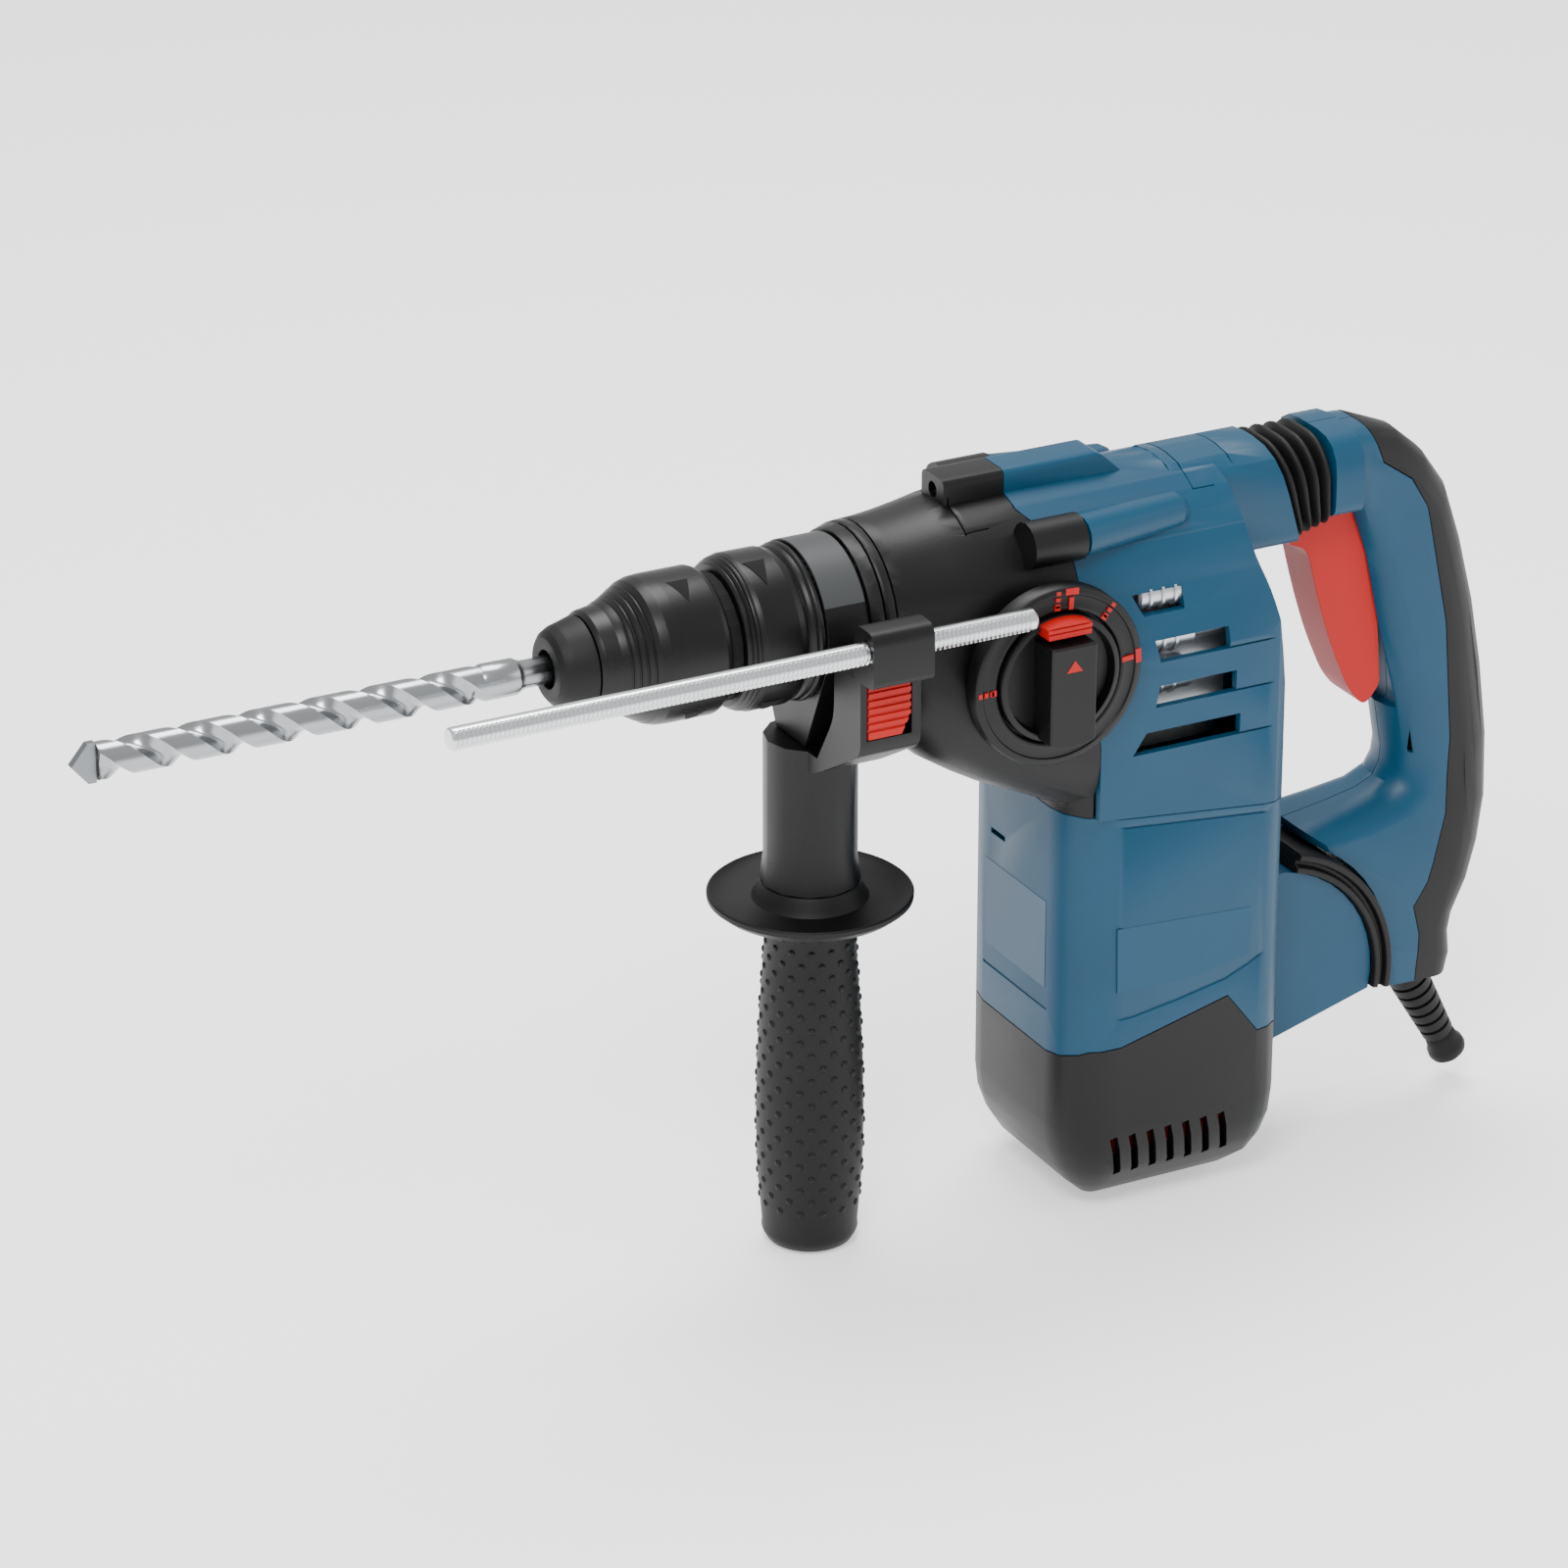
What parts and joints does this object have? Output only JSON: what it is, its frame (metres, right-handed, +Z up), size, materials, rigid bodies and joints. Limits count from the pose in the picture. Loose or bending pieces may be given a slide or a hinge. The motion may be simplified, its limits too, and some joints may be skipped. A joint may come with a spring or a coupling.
{
  "type": "rotary hammer",
  "caption": "Corded rotary hammer with a quick-change chuck, fluted bit, side handle with depth rod, vertical motor and a damped D-handle with trigger.",
  "frame": {"origin": "centre of the bounding box in X and Y, on the plane the tool stands on", "axes": "+X from the drill bit to the D-handle, +Y away from the mode selector, +Z up"},
  "size_m": [0.556, 0.105, 0.287],
  "materials": {
    "housing_blue": "satin blue moulded plastic",
    "shell_black": "fine-grained black moulded plastic",
    "chuck_black": "semi-matt black moulded plastic",
    "grip_rubber": "black soft-touch rubber",
    "joint_rubber": "black rubber",
    "accent_red": "satin red plastic",
    "band_grey": "dark grey reinforced plastic",
    "bit_steel": "polished steel",
    "carbide": "ground carbide",
    "rod_steel": "bright plated steel with a knurl",
    "dark_steel": "hardened dark steel",
    "bright_steel": "ground steel",
    "cast_aluminium": "cast aluminium",
    "laminations": "stacked steel sheets",
    "copper": "enamelled copper",
    "graphite": "pressed graphite",
    "brass": "brass sheet"
  },
  "bodies": {
    "casing": {"gearbox_shell": "shell_black", "clamping_collar": "cast_aluminium", "front_bearing": "bright_steel", "upper_housing": "housing_blue", "motor_housing": "housing_blue", "motor_cap": "shell_black", "selector_bezel": "shell_black", "bearing_plate": "cast_aluminium", "stator": "laminations", "stator_winding_upper": "copper", "stator_winding_lower": "copper", "brush_holder_near": "brass", "brush_holder_far": "brass", "carbon_brush_near": "graphite", "carbon_brush_far": "graphite", "upper_bearing": "bright_steel", "lower_bearing": "bright_steel", "joint_rubber": "joint_rubber", "handle_bellows": "joint_rubber", "pivot_pin": "bright_steel"},
    "spindle": {"hammer_tube": "dark_steel", "bevel_ring": "dark_steel", "tool_holder": "dark_steel", "dust_cap": "joint_rubber", "locking_ball_upper": "bright_steel", "locking_ball_lower": "bright_steel", "sleeve_spring": "dark_steel"},
    "locking_sleeve": {"locking_sleeve": "chuck_black"},
    "lock_ring": {"lock_ring": "chuck_black"},
    "bit": {"drill_bit": "bit_steel", "carbide_tip": "carbide"},
    "impact_bolt": {"impact_bolt": "bright_steel"},
    "striker": {"striker": "bright_steel"},
    "piston": {"piston": "cast_aluminium"},
    "crank": {"crank_gear": "dark_steel"},
    "connecting_rod": {"connecting_rod": "cast_aluminium", "wrist_pin": "bright_steel"},
    "layshaft": {"layshaft_gear": "dark_steel"},
    "armature": {"armature_shaft": "bright_steel", "armature_core": "laminations", "commutator": "copper", "cooling_fan": "shell_black", "motor_pinion": "bright_steel"},
    "selector": {"selector_knob": "shell_black"},
    "unlock_button": {"unlock_button": "accent_red"},
    "side_handle": {"clamp_band": "band_grey", "handle_head": "shell_black", "clamp_bolt": "bright_steel"},
    "side_grip": {"side_grip": "grip_rubber"},
    "depth_stop_button": {"depth_stop_button": "accent_red"},
    "depth_rod": {"depth_rod": "rod_steel"},
    "rear_handle": {"handle_shell_near": "housing_blue", "handle_shell_far": "housing_blue", "soft_grip": "grip_rubber", "handle_link": "dark_steel", "switch_body": "shell_black", "trigger_pin": "bright_steel", "cord_boot": "joint_rubber"},
    "trigger": {"trigger": "accent_red"}
  },
  "joints": [
    {"name": "armature_spin", "type": "hinge", "parent": "casing", "child": "armature", "pos_m": [0.12688, 0.00955, 0.143], "axis": [0, 0, 1], "continuous": true},
    {"name": "crank_spin", "type": "hinge", "parent": "casing", "child": "crank", "pos_m": [0.10048, 0.00955, 0.203], "axis": [0, 0, 1], "continuous": true},
    {"name": "layshaft_spin", "type": "hinge", "parent": "casing", "child": "layshaft", "pos_m": [0.06448, 0.00955, 0.203], "axis": [0, 0, 1], "continuous": true},
    {"name": "spindle_spin", "type": "hinge", "parent": "casing", "child": "spindle", "pos_m": [-0.00242, 0.00955, 0.243], "axis": [1, 0, 0], "continuous": true},
    {"name": "rod_on_crank_pin", "type": "hinge", "parent": "crank", "child": "connecting_rod", "pos_m": [0.10648, 0.00955, 0.243], "axis": [0, 0, 1], "continuous": true},
    {"name": "piston_slide", "type": "slide", "parent": "casing", "child": "piston", "axis": [-1, 0, 0], "range_m": [0, 0.012]},
    {"name": "striker_slide", "type": "slide", "parent": "spindle", "child": "striker", "axis": [-1, 0, 0], "range_m": [0, 0.008]},
    {"name": "impact_bolt_slide", "type": "slide", "parent": "spindle", "child": "impact_bolt", "axis": [-1, 0, 0], "range_m": [0, 0.0015]},
    {"name": "bit_play", "type": "slide", "parent": "spindle", "child": "bit", "axis": [-1, 0, 0], "range_m": [0, 0.008]},
    {"name": "sleeve_pull_back", "type": "slide", "parent": "spindle", "child": "locking_sleeve", "axis": [1, 0, 0], "range_m": [0, 0.005], "stiffness_N_per_m": 1500, "springref_m": -0.004, "deforming": ["sleeve_spring"]},
    {"name": "lock_ring_turn", "type": "hinge", "parent": "spindle", "child": "lock_ring", "pos_m": [-0.00242, 0.00955, 0.243], "axis": [1, 0, 0], "range_deg": [0, 30]},
    {"name": "selector_turn", "type": "hinge", "parent": "casing", "child": "selector", "pos_m": [0.06888, -0.04045, 0.2245], "axis": [0, 1, 0], "range_deg": [-75, 100]},
    {"name": "unlock_press", "type": "slide", "parent": "selector", "child": "unlock_button", "axis": [0, 0, -1], "range_m": [0, 0.002], "stiffness_N_per_m": 200},
    {"name": "side_handle_swing", "type": "hinge", "parent": "casing", "child": "side_handle", "pos_m": [-0.00242, 0.00955, 0.243], "axis": [-1, 0, 0], "range_deg": [0, 90]},
    {"name": "side_grip_twist", "type": "hinge", "parent": "side_handle", "child": "side_grip", "pos_m": [-0.00242, 0.00955, 0.093], "axis": [0, 0, 1], "range_deg": [0, 360]},
    {"name": "depth_button_press", "type": "slide", "parent": "side_handle", "child": "depth_stop_button", "axis": [0, 1, 0], "range_m": [0, 0.003], "stiffness_N_per_m": 400},
    {"name": "depth_rod_slide", "type": "slide", "parent": "side_handle", "child": "depth_rod", "axis": [1, 0, 0], "range_m": [-0.035, 0.004]},
    {"name": "rear_handle_tilt", "type": "hinge", "parent": "casing", "child": "rear_handle", "pos_m": [0.20438, 0.00955, 0.078], "axis": [0, -1, 0], "range_deg": [0, 1.5], "stiffness_Nm_per_rad": 400, "deforming": ["handle_bellows"]},
    {"name": "trigger_pull", "type": "hinge", "parent": "rear_handle", "child": "trigger", "pos_m": [0.21298, 0.00955, 0.255], "axis": [0, -1, 0], "range_deg": [0, 6], "stiffness_Nm_per_rad": 1}
  ],
  "couplings": [
    {"joint": "crank_spin", "follows": "armature_spin", "ratio": -0.22222},
    {"joint": "layshaft_spin", "follows": "armature_spin", "ratio": 0.33333},
    {"joint": "spindle_spin", "follows": "armature_spin", "ratio": -0.11111},
    {"joint": "rod_on_crank_pin", "follows": "armature_spin", "ratio": 0.22222}
  ]
}
